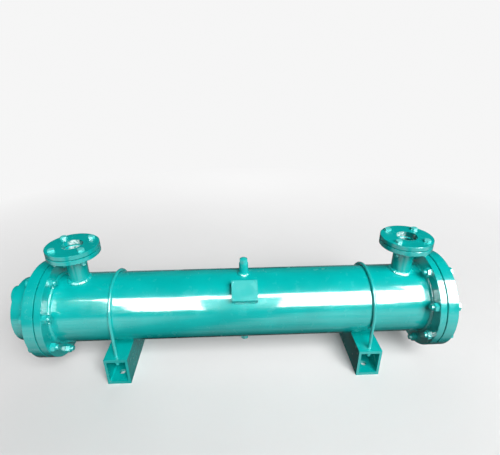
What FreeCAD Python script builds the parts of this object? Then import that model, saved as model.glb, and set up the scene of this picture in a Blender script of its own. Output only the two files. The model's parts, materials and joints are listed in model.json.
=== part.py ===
import FreeCAD, Part
import math
import os

import Sketcher

# Tubular hydraulic oil cooler: a horizontal shell with two oil nozzles on top, a two-pass
# bundle of straight tubes inside, a water cover at the left end, a return cover at the
# right end, and two box saddles that it is strapped to with U-bolts.
# Millimetres. +X runs along the shell to the return cover, +Y to the back and +Z up.
# The origin is on the foot plane, centred between the four anchor holes.

Vector = FreeCAD.Vector

DIMENSIONS = [
    ("axis_height", 208, "foot plane to the shell's axis"),
    ("shell_od", 219, "shell pipe outer diameter"),
    ("shell_wall", 6, "shell pipe wall"),
    ("shell_half_length", 584, "centre to each end of the shell pipe"),
    ("fitting_shift", 5, "vent, drain and plate, off the middle along X"),
    ("flange_od", 308, "end flange outer diameter"),
    ("flange_inner", 576, "centre to the inner face of a shell flange"),
    ("shell_flange_width", 20, "shell flange thickness"),
    ("seal_gap", 3, "gap between shell flange and cover flange"),
    ("cover_flange_width", 32, "cover flange thickness"),
    ("cover_bolt_circle", 274, "bolt circle of the end flanges"),
    ("cover_bolt_count", 8, "bolts in each end flange"),
    ("cover_bolt_phase", 22.5, "first bolt above the front, degrees: the bolts straddle the top"),
    ("socket_depth", 8, "how far the shell pipe goes into its flange"),
    ("socket_clearance", 0.25, "radial gap of a pipe in its flange"),
    ("rim_chamfer", 1, "chamfer on the rims of flanges"),
    ("float_bore", 201, "bore that the floating tube sheet slides in"),
    ("gasket_od", 252, "outer diameter of the end gaskets"),
    ("bolt_size", 16, "thread of the end flange bolts"),
    ("bolt_hole", 18, "clearance hole for an end flange bolt"),
    ("hex_width", 24, "across the flats of end flange heads and nuts, and of the plugs"),
    ("head_height", 10, "end flange bolt head height"),
    ("nut_height", 13, "end flange nut height"),
    ("cover_bolt_end", 8, "cover bolt beyond its nut"),
    ("nozzle_x", 510, "centre to each oil nozzle"),
    ("neck_od", 60.3, "nozzle neck outer diameter"),
    ("neck_bore", 52, "nozzle neck bore"),
    ("nozzle_flange_od", 155, "nozzle and companion flange diameter"),
    ("nozzle_flange_bottom", 196.5, "axis to the underside of the nozzle flange"),
    ("nozzle_flange_width", 14, "nozzle flange thickness"),
    ("neck_set_back", 3, "top of the neck below the face of its flange"),
    ("nozzle_seal", 2, "nozzle gasket thickness"),
    ("nozzle_seal_od", 96, "nozzle gasket outer diameter"),
    ("companion_width", 14, "companion flange thickness"),
    ("companion_bore", 61, "companion flange bore, for a 60.3 mm pipe"),
    ("nozzle_bolt_circle", 120, "bolt circle of the nozzle flanges"),
    ("nozzle_bolt_count", 4, "bolts in each nozzle"),
    ("nozzle_bolt_phase", 45, "first nozzle bolt off the shell's length, degrees"),
    ("nozzle_bolt_size", 12, "thread of the nozzle bolts"),
    ("nozzle_bolt_hole", 14, "clearance hole for a nozzle bolt"),
    ("nozzle_hex", 18, "across the flats of nozzle heads and nuts"),
    ("nozzle_head", 7.5, "nozzle bolt head height"),
    ("nozzle_nut", 10.8, "nozzle nut height"),
    ("nozzle_bolt_end", 6, "nozzle bolt beyond its nut"),
    ("boss_od", 28.7, "vent and drain boss diameter"),
    ("vent_boss_top", 146, "axis to the face of the vent boss"),
    ("drain_boss_bottom", 135, "axis to the face of the drain boss"),
    ("boss_bore", 19.9, "boss bore at the thread's pitch diameter"),
    ("plug_shank", 19.76, "plug shank at the thread's pitch diameter"),
    ("plug_shank_length", 14, "plug shank below its washer"),
    ("plug_head", 17, "plug head height with its dome"),
    ("plug_crown", 19.2, "radius of the plug head's dome"),
    ("plug_washer_od", 27, "plug washer outer diameter"),
    ("plug_washer_bore", 20.4, "plug washer bore"),
    ("plug_washer_width", 2, "plug washer thickness"),
    ("shell_port_bore", 16, "hole in the shell under a boss"),
    ("plate_width", 78, "nameplate size along X"),
    ("plate_height", 62, "nameplate size around the shell"),
    ("plate_face", 135, "axis to the nameplate's face"),
    ("plate_sheet", 1.5, "nameplate thickness"),
    ("plate_angle", 40, "the plate's turn from the top to the front, degrees"),
    ("bracket_sheet", 3, "nameplate bracket thickness"),
    ("rivet_inset", 5, "rivet centre to the plate's edges"),
    ("rivet_shank", 3, "rivet shank diameter"),
    ("rivet_hole", 3.2, "rivet hole diameter"),
    ("rivet_head", 5.6, "rivet head diameter"),
    ("rivet_dome", 3.4, "radius of the rivet head's dome"),
    ("rivet_sunk", 2, "centre of the rivet's dome below the plate's face"),
    ("saddle_x", 397, "centre to each saddle"),
    ("saddle_width", 73, "saddle size along X"),
    ("saddle_length", 260, "saddle size along Y"),
    ("saddle_plate", 10, "top and base plate thickness"),
    ("saddle_wall", 8, "side plate thickness"),
    ("anchor_spacing", 180, "anchor holes of one saddle, along Y"),
    ("anchor_hole", 19, "anchor hole diameter"),
    ("strap_rod", 10, "U-bolt rod diameter"),
    ("strap_gap", 0.2, "gap between U-bolt rod and shell"),
    ("strap_hole", 11, "hole for a U-bolt leg"),
    ("strap_end", 10, "U-bolt leg beyond its nut"),
    ("strap_hex", 16, "U-bolt nut across the flats"),
    ("strap_nut", 8.4, "U-bolt nut height"),
    ("strap_washer_od", 20, "U-bolt washer outer diameter"),
    ("strap_washer", 2, "U-bolt washer thickness"),
    ("barrel_od", 200, "water cover barrel outer diameter"),
    ("water_barrel", 62, "water cover barrel length"),
    ("water_dish", 16, "rise of the water cover's end"),
    ("port_offset", 50, "axis to each water port"),
    ("port_od", 60, "water port boss diameter"),
    ("port_bore", 45, "water port bore, drilled for a G 1 1/2 thread"),
    ("port_length", 36, "water port boss length"),
    ("port_reach", 90, "cover flange to the face of a water port"),
    ("partition_width", 8, "pass partition thickness"),
    ("dome_depth", 55, "return cover dome depth"),
    ("dome_skirt", 5, "return cover straight skirt"),
    ("tube_od", 16, "heat exchange tube outer diameter"),
    ("tube_id", 14, "heat exchange tube inner diameter"),
    ("tube_pitch", 20, "tube pitch, triangular"),
    ("tube_lane", 24, "rows either side of the partition, apart"),
    ("tube_field", 84, "largest tube centre radius"),
    ("tube_stick_out", 2, "tube beyond a tube sheet"),
    ("tube_fit", 0.1, "radial gap of a tube in a tube sheet"),
    ("baffle_fit", 0.3, "radial gap of a tube in a baffle"),
    ("fixed_sheet_od", 250, "fixed tube sheet diameter"),
    ("fixed_sheet_width", 20, "fixed tube sheet thickness"),
    ("cover_gasket", 2, "gasket between tube sheet and water cover"),
    ("recess_clearance", 0.5, "radial gap of the tube sheet in its recess"),
    ("float_sheet_od", 200.2, "floating tube sheet diameter"),
    ("float_sheet_start", 578, "centre to the floating tube sheet"),
    ("float_sheet_width", 38, "floating tube sheet thickness"),
    ("ring_cord", 5.3, "O-ring cord diameter"),
    ("ring_outer", 200.8, "O-ring outer diameter"),
    ("ring_first", 590, "centre to the oil side O-ring"),
    ("ring_second", 606, "centre to the water side O-ring"),
    ("groove_width", 7, "O-ring groove width"),
    ("baffle_od", 206, "baffle diameter"),
    ("baffle_width", 5, "baffle thickness"),
    ("baffle_pitch", 92, "baffle spacing"),
    ("baffle_count", 11, "baffles"),
    ("baffle_window", 51, "axis to a baffle's cut edge"),
    ("tie_rod", 10, "tie rod diameter"),
    ("tie_rod_depth", 12, "tie rod into the fixed tube sheet"),
    ("tie_rod_end", 4, "tie rod beyond its nut"),
    ("tie_nut", 8, "tie rod nut height"),
    ("spacer_od", 14, "spacer tube outer diameter"),
    ("spacer_id", 10.4, "spacer tube inner diameter"),
]

doc = FreeCAD.newDocument("oil_cooler")
sheet = doc.addObject("Spreadsheet::Sheet", "dims")
for row, (alias, number, meaning) in enumerate(DIMENSIONS, start=1):
    sheet.set(f"A{row}", meaning)
    sheet.set(f"B{row}", str(number))
    sheet.setAlias(f"B{row}", alias)
doc.recompute()

NODES = []

ALONG_X = FreeCAD.Rotation(Vector(0, 1, 0), 90)
UPRIGHT = FreeCAD.Rotation()
UPSIDE_DOWN = FreeCAD.Rotation(Vector(1, 0, 0), 180)
SIDES = (("left", -1), ("right", 1))


def size(alias):
    """One driving dimension as a number."""
    return float(sheet.get(alias))


def size_of(expression):
    """A layout expression as a number, for pieces that are placed in code."""
    probe = doc.addObject("Part::Cylinder", "probe")
    bind(probe, Height=expression)
    doc.recompute()
    value = probe.Height.Value
    doc.removeObject(probe.Name)
    return value


def named(expression):
    """Write sheet aliases as cell references, so "$shell_od / 2" reads the sheet."""
    return expression.replace("$", "dims.")


def bind(thing, **expressions):
    """Bind properties to expressions of the sheet."""
    for prop, expression in expressions.items():
        thing.setExpression(prop, named(expression))
    return thing


def stand(thing, x="0", y="0", z="0", turn=UPRIGHT):
    """Place an object: its turn is fixed and its position is bound to the sheet."""
    thing.Placement = FreeCAD.Placement(Vector(), turn)
    for letter, expression in (("x", x), ("y", y), ("z", z)):
        thing.setExpression(f"Placement.Base.{letter}", named(expression))
    return thing


def keep(thing, node):
    """Make an object one node of the product."""
    thing.Label = node
    NODES.append(thing)
    return thing


def cylinder(radius, height, **place):
    rod = doc.addObject("Part::Cylinder", "cylinder")
    bind(rod, Radius=radius, Height=height)
    return stand(rod, **place)


def cone(bottom, top, height, **place):
    body = doc.addObject("Part::Cone", "cone")
    bind(body, Radius1=bottom, Radius2=top, Height=height)
    return stand(body, **place)


def box(length, width, height, **place):
    block = doc.addObject("Part::Box", "box")
    bind(block, Length=length, Width=width, Height=height)
    return stand(block, **place)


def hexagon(flats, height, **place):
    prism = doc.addObject("Part::Prism", "hexagon")
    prism.Polygon = 6
    bind(prism, Circumradius=f"({flats}) / sqrt(3)", Height=height)
    return stand(prism, **place)


def ball(radius, **place):
    sphere = doc.addObject("Part::Sphere", "ball")
    bind(sphere, Radius=radius)
    return stand(sphere, **place)


def cut(base, *tools):
    """Take tools away from base."""
    result = doc.addObject("Part::Cut", "cut")
    result.Base = base
    result.Tool = tools[0] if len(tools) == 1 else join(*tools)
    return result


def join(*parts):
    result = doc.addObject("Part::MultiFuse", "join")
    result.Shapes = list(parts)
    result.Refine = True
    return result


def overlap(*parts):
    result = doc.addObject("Part::MultiCommon", "overlap")
    result.Shapes = list(parts)
    return result


def group(node, master, places):
    """Copies of one master piece as separate solids of one node."""
    doc.recompute()
    solids = []
    for place in places:
        solid = master.Shape.copy()
        solid.Placement = place.multiply(master.Shape.Placement)
        solids.append(solid)
    holder = doc.addObject("Part::Feature", node)
    holder.Shape = Part.makeCompound(solids)
    holder.Placement = FreeCAD.Placement()
    return keep(holder, node)


def origin_plane(body, role):
    return next(item for item in body.Origin.OriginFeatures if item.Role == role)


def circle_sketch(body, circles):
    """A sketch on the body's XY plane; circles are (radius, x, y), all expressions."""
    sketch = body.newObject("Sketcher::SketchObject", "outline")
    sketch.AttachmentSupport = (origin_plane(body, "XY_Plane"), [""])
    sketch.MapMode = "FlatFace"
    for radius, x, y in circles:
        index = sketch.addGeometry(Part.Circle(Vector(1, 1, 0), Vector(0, 0, 1), 1.0))
        rule = sketch.addConstraint(Sketcher.Constraint("Radius", index, 1.0))
        sketch.setExpression(f"Constraints[{rule}]", named(radius))
        if (x, y) == ("0", "0"):
            sketch.addConstraint(Sketcher.Constraint("Coincident", index, 3, -1, 1))
            continue
        for kind, expression in (("DistanceX", x), ("DistanceY", y)):
            rule = sketch.addConstraint(Sketcher.Constraint(kind, -1, 1, index, 3, 1.0))
            sketch.setExpression(f"Constraints[{rule}]", named(expression))
    return sketch


def padded_ring(node, outer, inner, width):
    """A PartDesign ring: outer and inner radius, and thickness along its own Z."""
    body = doc.addObject("PartDesign::Body", node)
    circles = [(outer, "0", "0"), (inner, "0", "0")] if inner else [(outer, "0", "0")]
    pad = body.newObject("PartDesign::Pad", "ring")
    pad.Profile = circle_sketch(body, circles)
    bind(pad, Length=width)
    doc.recompute()
    return body


def chamfer_rims(body):
    """Chamfer the two outer rims of a ring that has nothing else cut into it yet."""
    ring = body.Tip
    widest = max(edge.Curve.Radius for edge in ring.Shape.Edges if hasattr(edge.Curve, "Radius"))
    rims = [
        f"Edge{number}"
        for number, edge in enumerate(ring.Shape.Edges, start=1)
        if hasattr(edge.Curve, "Radius") and math.isclose(edge.Curve.Radius, widest)
    ]
    chamfer = body.newObject("PartDesign::Chamfer", "rims")
    chamfer.Base = (ring, rims)
    bind(chamfer, Size="$rim_chamfer")
    doc.recompute()
    if body.Shape.Volume >= ring.Shape.Volume:
        raise RuntimeError(f"the chamfer on {body.Label} cut nothing")


def pocket_circles(body, circles, depth=None):
    """Cut circles upward from the body's base plane, right through or to a depth."""
    before = body.Shape.Volume
    pocket = body.newObject("PartDesign::Pocket", "pocket")
    pocket.Profile = circle_sketch(body, circles)
    pocket.Reversed = True
    if depth is None:
        pocket.Type = "ThroughAll"
    else:
        bind(pocket, Length=depth)
    doc.recompute()
    if body.Shape.Volume >= before:
        raise RuntimeError(f"the pocket in {body.Label} cut nothing")
    return pocket


def pattern_holes(body, pocket, count):
    """Repeat a pocket around the body's own Z axis."""
    before = body.Shape.Volume
    pattern = body.newObject("PartDesign::PolarPattern", "holes")
    pattern.Originals = [pocket]
    pattern.Axis = (pocket.Profile[0], ["N_Axis"])
    pattern.Angle = 360
    bind(pattern, Occurrences=count)
    body.Tip = pattern
    doc.recompute()
    if body.Shape.Volume >= before:
        raise RuntimeError(f"the pattern in {body.Label} cut nothing")


# ---- layout shared by several pieces -------------------------------------------------

AXIS = "$axis_height"
SHELL_RADIUS = "$shell_od / 2"
SHELL_INNER = "($shell_od / 2 - $shell_wall)"
BARREL_INNER = "($barrel_od / 2 - $shell_wall)"
SHELL_FACE = "($flange_inner + $shell_flange_width)"
COVER_FACE = f"({SHELL_FACE} + $seal_gap)"
COVER_BACK = f"({COVER_FACE} + $cover_flange_width)"
FIXED_FACE = f"({COVER_FACE} + $fixed_sheet_width)"
FLOAT_END = "($float_sheet_start + $float_sheet_width)"
NOZZLE_BOTTOM = "($axis_height + $nozzle_flange_bottom)"
NOZZLE_FACE = f"({NOZZLE_BOTTOM} + $nozzle_flange_width)"
COMPANION_BOTTOM = f"({NOZZLE_FACE} + $nozzle_seal)"
COMPANION_TOP = f"({COMPANION_BOTTOM} + $companion_width)"
PLATE_TOP = "($axis_height - $shell_od / 2)"
CHAMFER_SLOPE = "1.732"
CHAMFER_CIRCLE = "0.475"
SPANNER_START = 7
SPANNER_STEP = 23


def end_start(sign, near, far):
    """Where an axial piece that spans near to far from the centre starts along X."""
    return near if sign > 0 else f"-{far}"


def tube_centres():
    """Centres (y, z) of the tube field, rows mirrored about the partition."""
    pitch = size("tube_pitch")
    row_step = pitch * math.sqrt(3) / 2
    centres = []
    row_number = 0
    height = size("tube_lane") / 2
    while height <= size("tube_field"):
        across = 0 if row_number % 2 == 0 else pitch / 2
        while math.hypot(across, height) <= size("tube_field"):
            for side in {across, -across}:
                centres.append((side, height))
                centres.append((side, -height))
            across += pitch
        row_number += 1
        height += row_step
    return sorted(centres)


def split_tie_rods(centres):
    """The four outermost places of the innermost rows hold the tie rods."""
    lane = size("tube_lane") / 2
    reach = max(abs(y) for y, z in centres if math.isclose(abs(z), lane))
    rods = [(y, z) for y, z in centres if math.isclose(abs(y), reach) and math.isclose(abs(z), lane)]
    return [place for place in centres if place not in rods], rods


def spun(turn, number):
    """A fastener's turn, with its flats where the spanner left them."""
    angle = SPANNER_START + SPANNER_STEP * number
    return turn.multiply(FreeCAD.Rotation(Vector(0, 0, 1), angle))


def cover_bolt_places(x, turn):
    """Places of the end flange bolts at one X, for pieces drawn along their own Z."""
    places = []
    for number in range(int(size("cover_bolt_count"))):
        angle = math.radians(size("cover_bolt_phase") + 360 * number / size("cover_bolt_count"))
        radius = size("cover_bolt_circle") / 2
        spot = Vector(x, -radius * math.cos(angle), size("axis_height") + radius * math.sin(angle))
        places.append(FreeCAD.Placement(spot, spun(turn, number)))
    return places


def nozzle_bolt_places(sign, z):
    places = []
    for number in range(int(size("nozzle_bolt_count"))):
        angle = math.radians(size("nozzle_bolt_phase") + 360 * number / size("nozzle_bolt_count"))
        radius = size("nozzle_bolt_circle") / 2
        spot = Vector(sign * size("nozzle_x") + radius * math.cos(angle), radius * math.sin(angle), z)
        places.append(FreeCAD.Placement(spot, spun(UPRIGHT, number)))
    return places


# ---- fasteners, each drawn once along +Z and copied to its places ----------------------


def hex_head(flats, height):
    """A hexagon from z = 0 with its far corners chamfered at 30 degrees."""
    top = f"({flats}) * {CHAMFER_CIRCLE}"
    wide = f"{top} + {CHAMFER_SLOPE} * ({height})"
    return overlap(hexagon(flats, height), cone(wide, top, height))


def hex_bolt(thread, flats, head, grip):
    """Head above z = 0, shank below it; grip is the shank's length."""
    shank = cylinder(f"{thread} / 2", grip, z=f"-({grip})")
    return join(hex_head(flats, head), shank)


def hex_nut(flats, height, bore):
    return cut(hex_head(flats, height), cylinder(bore, height))


def washer(outer, bore, width):
    return cut(cylinder(outer, width), cylinder(bore, width))


# ---- shell -----------------------------------------------------------------------------


def make_shell():
    length = "2 * $shell_half_length"
    tube = cylinder(SHELL_RADIUS, length, x="-$shell_half_length", z=AXIS, turn=ALONG_X)
    bore = cylinder(SHELL_INNER, length, x="-$shell_half_length", z=AXIS, turn=ALONG_X)
    openings = [
        cylinder("$neck_bore / 2", "$shell_od", x=f"{sign} * $nozzle_x", z=AXIS)
        for _, sign in SIDES
    ]
    across = "2 * $shell_od"
    port = cylinder("$shell_port_bore / 2", across, x="$fitting_shift", z=f"{AXIS} - $shell_od")
    keep(cut(tube, bore, port, *openings), "shell_tube")


def make_shell_flange(side, sign):
    """The pipe sits in a socket on the inner face; the left bore is as wide as the pipe's."""
    node = f"shell_flange_{side}"
    bore = SHELL_INNER if sign < 0 else "$float_bore / 2"
    body = padded_ring(node, "$flange_od / 2", bore, "$shell_flange_width")
    chamfer_rims(body)
    pocket_circles(body, [(f"{SHELL_RADIUS} + $socket_clearance", "0", "0")], "$socket_depth")
    bolt = pocket_circles(body, [cover_bolt_circle(sign)])
    pattern_holes(body, bolt, "$cover_bolt_count")
    turn = ALONG_X if sign > 0 else FreeCAD.Rotation(Vector(0, 1, 0), -90)
    stand(body, x=f"{sign} * $flange_inner", z=AXIS, turn=turn)
    keep(body, node)


def cover_bolt_circle(sign):
    """The first bolt hole in a flange whose own X points down (right) or up (left)."""
    x = f"{-sign} * $cover_bolt_circle / 2 * sin($cover_bolt_phase * 1 deg)"
    y = "-$cover_bolt_circle / 2 * cos($cover_bolt_phase * 1 deg)"
    return ("$bolt_hole / 2", x, y)


# ---- oil nozzles -----------------------------------------------------------------------


def make_nozzle(side, sign):
    x = f"{sign} * $nozzle_x"
    rise = "$nozzle_flange_bottom + $nozzle_flange_width - $neck_set_back"
    outside = cylinder(SHELL_RADIUS, "2 * $flange_inner", x="-$flange_inner", z=AXIS, turn=ALONG_X)
    neck = cut(
        cylinder("$neck_od / 2", rise, x=x, z=AXIS),
        cylinder("$neck_bore / 2", rise, x=x, z=AXIS),
        outside,
    )
    keep(neck, f"nozzle_neck_{side}")
    flanges = (
        ("nozzle_flange", "$neck_od / 2 + $socket_clearance", "$nozzle_flange_width", NOZZLE_BOTTOM),
        ("companion_flange", "$companion_bore / 2", "$companion_width", COMPANION_BOTTOM),
    )
    for name, bore, width, z in flanges:
        node = f"{name}_{side}"
        body = padded_ring(node, "$nozzle_flange_od / 2", bore, width)
        chamfer_rims(body)
        along = "$nozzle_bolt_circle / 2 * cos($nozzle_bolt_phase * 1 deg)"
        across = "$nozzle_bolt_circle / 2 * sin($nozzle_bolt_phase * 1 deg)"
        bolt = pocket_circles(body, [("$nozzle_bolt_hole / 2", along, across)])
        pattern_holes(body, bolt, "$nozzle_bolt_count")
        stand(body, x=x, z=z)
        keep(body, node)
    node = f"nozzle_gasket_{side}"
    seal = padded_ring(node, "$nozzle_seal_od / 2", "$companion_bore / 2 + $rim_chamfer", "$nozzle_seal")
    stand(seal, x=x, z=NOZZLE_FACE)
    keep(seal, node)


def make_nozzle_fasteners():
    underside = size_of(NOZZLE_BOTTOM)
    top = size_of(COMPANION_TOP)
    flanges = "$companion_width + $nozzle_seal + $nozzle_flange_width"
    length = f"{flanges} + $nozzle_nut + $nozzle_bolt_end"
    bolt = hex_bolt("$nozzle_bolt_size", "$nozzle_hex", "$nozzle_head", length)
    nut = hex_nut("$nozzle_hex", "$nozzle_nut", "$nozzle_bolt_size / 2")
    upside_down = FreeCAD.Placement(Vector(), UPSIDE_DOWN)
    for side, sign in SIDES:
        group(f"nozzle_bolts_{side}", bolt, nozzle_bolt_places(sign, top))
        below = [place.multiply(upside_down) for place in nozzle_bolt_places(sign, underside)]
        group(f"nozzle_nuts_{side}", nut, below)


# ---- vent and drain ----------------------------------------------------------------------


def make_plugged_boss(name, turn, face):
    """A boss on the shell, closed by a domed hexagon plug on a washer; turn sets up or down."""
    start = "$fitting_shift - 2 * $boss_od"
    outside = cylinder(SHELL_RADIUS, "4 * $boss_od", x=start, z=AXIS, turn=ALONG_X)
    boss = cut(
        cylinder("$boss_od / 2", face, x="$fitting_shift", z=AXIS, turn=turn),
        cylinder("$boss_bore / 2", face, x="$fitting_shift", z=AXIS, turn=turn),
        outside,
    )
    keep(boss, f"{name}_boss")
    way = 1 if turn is UPRIGHT else -1
    ring = cut(
        cylinder("$plug_washer_od / 2", "$plug_washer_width"),
        cylinder("$plug_washer_bore / 2", "$plug_washer_width"),
    )
    stand(ring, x="$fitting_shift", z=f"{AXIS} + {way} * {face}", turn=turn)
    keep(ring, f"{name}_washer")
    dome = ball("$plug_crown", z="$plug_head - $plug_crown")
    head = overlap(hexagon("$hex_width", "$plug_head"), dome)
    depth = "($plug_shank_length + $plug_washer_width)"
    shank = cylinder("$plug_shank / 2", depth, z=f"-{depth}")
    plug = join(head, shank)
    stand(plug, x="$fitting_shift", z=f"{AXIS} + {way} * ({face} + $plug_washer_width)", turn=turn)
    keep(plug, f"{name}_plug")


# ---- nameplate -----------------------------------------------------------------------------


def make_nameplate():
    """A bent bracket welded to the shell holds a blank plate with four rivets."""
    lean = FreeCAD.Rotation(Vector(1, 0, 0), size("plate_angle"))
    bracket_face = "$plate_face - $plate_sheet"
    left = "-$plate_width / 2"
    lower = "-$plate_height / 2"
    depth = "$shell_od / 4"
    block = box("$plate_width", "$plate_height", depth, x=left, y=lower, z=f"{bracket_face} - {depth}")
    hollow = box(
        "$plate_width",
        "$plate_height - 2 * $bracket_sheet",
        depth,
        x=left,
        y=f"{lower} + $bracket_sheet",
        z=f"{bracket_face} - $bracket_sheet - {depth}",
    )
    outside = cylinder(SHELL_RADIUS, "$plate_width", x=left, turn=ALONG_X)
    bracket = stand(cut(block, hollow, outside), x="$fitting_shift", z=AXIS, turn=lean)
    keep(bracket, "nameplate_bracket")
    plate = box("$plate_width", "$plate_height", "$plate_sheet", x=left, y=lower, z=bracket_face)
    holes = []
    spots = []
    for along in (-1, 1):
        for around in (-1, 1):
            x = f"{along} * ($plate_width / 2 - $rivet_inset)"
            y = f"{around} * ($plate_height / 2 - $rivet_inset)"
            holes.append(cylinder("$rivet_hole / 2", "$plate_sheet", x=x, y=y, z=bracket_face))
            spots.append((along, around))
    keep(stand(cut(plate, *holes), x="$fitting_shift", z=AXIS, turn=lean), "nameplate")
    dome = overlap(ball("$rivet_dome", z="-$rivet_sunk"), cylinder("$rivet_head / 2", "$rivet_dome"))
    rivet = join(dome, cylinder("$rivet_shank / 2", "$plate_sheet", z="-$plate_sheet"))
    places = []
    for along, around in spots:
        spot = Vector(
            along * (size("plate_width") / 2 - size("rivet_inset")),
            around * (size("plate_height") / 2 - size("rivet_inset")),
            size("plate_face"),
        )
        centre = Vector(size("fitting_shift"), 0, size("axis_height"))
        places.append(FreeCAD.Placement(centre + lean.multVec(spot), lean))
    group("nameplate_rivets", rivet, places)


# ---- saddles and U-bolts -------------------------------------------------------------------

STRAP_RADIUS = "($shell_od / 2 + $strap_gap + $strap_rod / 2)"


def make_saddle(side, sign):
    """A box saddle: top plate, two side plates and a base plate, open to the front and back."""
    middle = f"{sign} * $saddle_x"
    corner = f"{middle} - $saddle_width / 2"
    back = "-$saddle_length / 2"
    wall_height = f"{PLATE_TOP} - 2 * $saddle_plate"
    under = f"{PLATE_TOP} - $saddle_plate"
    top = box("$saddle_width", "$saddle_length", "$saddle_plate", x=corner, y=back, z=under)
    leg_holes = [
        cylinder("$strap_hole / 2", "$saddle_plate", x=middle, y=f"{way} * {STRAP_RADIUS}", z=under)
        for way in (-1, 1)
    ]
    keep(cut(top, *leg_holes), f"saddle_top_plate_{side}")
    base = box("$saddle_width", "$saddle_length", "$saddle_plate", x=corner, y=back)
    anchor_holes = [
        cylinder("$anchor_hole / 2", "$saddle_plate", x=middle, y=f"{way} * $anchor_spacing / 2")
        for way in (-1, 1)
    ]
    keep(cut(base, *anchor_holes), f"saddle_base_plate_{side}")
    for name, edge in (("outer", sign), ("inner", -sign)):
        inset = "0" if edge < 0 else "$saddle_width - $saddle_wall"
        start = f"{corner} + {inset}"
        wall = box("$saddle_wall", "$saddle_length", wall_height, x=start, y=back, z="$saddle_plate")
        keep(wall, f"saddle_{name}_plate_{side}")


def make_strap(side, sign):
    """A U-bolt over the shell: half a ring and two straight legs down through the top plate."""
    middle = f"{sign} * $saddle_x"
    arch = doc.addObject("Part::Torus", "arch")
    bind(arch, Radius1=STRAP_RADIUS, Radius2="$strap_rod / 2")
    arch.Angle3 = 180
    across = FreeCAD.Rotation(Vector(0, 0, 1), 90)
    standing = FreeCAD.Rotation(Vector(1, 0, 0), 90)
    stand(arch, x=middle, z=AXIS, turn=across.multiply(standing))
    leg = "$shell_od / 2 + $saddle_plate + $strap_washer + $strap_nut + $strap_end"
    legs = [
        cylinder("$strap_rod / 2", leg, x=middle, y=f"{way} * {STRAP_RADIUS}", z=f"{AXIS} - ({leg})")
        for way in (-1, 1)
    ]
    keep(join(arch, *legs), f"u_bolt_{side}")


def make_strap_fasteners():
    nut = hex_nut("$strap_hex", "$strap_nut", "$strap_rod / 2")
    ring = washer("$strap_washer_od / 2", "$strap_hole / 2", "$strap_washer")
    under = size_of(f"{PLATE_TOP} - $saddle_plate")
    nuts = []
    washers = []
    for _, sign in SIDES:
        for way in (-1, 1):
            spot = Vector(sign * size("saddle_x"), way * size_of(STRAP_RADIUS), under)
            washers.append(FreeCAD.Placement(spot, UPSIDE_DOWN))
            lower = spot - Vector(0, 0, size("strap_washer"))
            nuts.append(FreeCAD.Placement(lower, UPSIDE_DOWN))
    group("u_bolt_nuts", nut, nuts)
    group("u_bolt_washers", ring, washers)


# ---- end covers ------------------------------------------------------------------------------


def make_cover_flange(node, sign, bore, recess):
    body = padded_ring(node, "$flange_od / 2", bore, "$cover_flange_width")
    chamfer_rims(body)
    if recess:
        pocket_circles(body, [("$fixed_sheet_od / 2 + $recess_clearance", "0", "0")], recess)
    bolt = pocket_circles(body, [cover_bolt_circle(sign)])
    pattern_holes(body, bolt, "$cover_bolt_count")
    turn = ALONG_X if sign > 0 else FreeCAD.Rotation(Vector(0, 1, 0), -90)
    stand(body, x=f"{sign} * {COVER_FACE}", z=AXIS, turn=turn)
    keep(body, node)


def water_side(shrink):
    """The solid inside the water cover's skin: a barrel closed by a shallow sphere."""
    dish_radius = "(($barrel_od / 2) ^ 2 + $water_dish ^ 2) / (2 * $water_dish)"
    tip = f"({COVER_BACK} + $water_barrel + $water_dish)"
    barrel = cylinder(
        f"$barrel_od / 2 - {shrink}",
        "$water_barrel + $water_dish",
        x=f"-{tip}",
        z=AXIS,
        turn=ALONG_X,
    )
    dish = ball(f"{dish_radius} - {shrink}", x=f"-{tip} + {dish_radius}", z=AXIS)
    return overlap(barrel, dish)


def make_water_cover():
    make_cover_flange("water_cover_flange", -1, BARREL_INNER, "$fixed_sheet_width + $cover_gasket")
    face = f"-({COVER_BACK} + $port_reach)"
    port_holes = []
    for name, way in (("upper", 1), ("lower", -1)):
        height = f"{AXIS} + {way} * $port_offset"
        boss = cylinder("$port_od / 2", "$port_length", x=face, z=height, turn=ALONG_X)
        bore = cylinder("$port_bore / 2", "$port_length", x=face, z=height, turn=ALONG_X)
        keep(cut(boss, bore), f"water_port_{name}")
        hole = "$port_od / 2 + $socket_clearance"
        port_holes.append(cylinder(hole, "$port_length", x=face, z=height, turn=ALONG_X))
    keep(cut(water_side("0"), water_side("$shell_wall"), *port_holes), "water_cover_barrel")
    seat = f"({FIXED_FACE} + $cover_gasket)"
    reach = "$water_barrel + $water_dish + $cover_flange_width"
    lower = f"{AXIS} - $partition_width / 2"
    start = f"-{seat} - ({reach})"
    slab = box(reach, "$barrel_od", "$partition_width", x=start, y="-$barrel_od / 2", z=lower)
    depth = f"{COVER_BACK} - {seat}"
    throat = cylinder(BARREL_INNER, depth, x=f"-{COVER_BACK}", z=AXIS, turn=ALONG_X)
    keep(overlap(slab, join(water_side("$shell_wall"), throat)), "pass_partition")
    rim = cut(
        cylinder("$fixed_sheet_od / 2", "$cover_gasket", x=f"-{seat}", z=AXIS, turn=ALONG_X),
        cylinder(BARREL_INNER, "$cover_gasket", x=f"-{seat}", z=AXIS, turn=ALONG_X),
    )
    width = f"2 * {BARREL_INNER} + $cover_gasket"
    rib = box("$cover_gasket", width, "$partition_width", x=f"-{seat}", y=f"-({width}) / 2", z=lower)
    keep(join(rim, rib), "water_cover_gasket")


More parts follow.
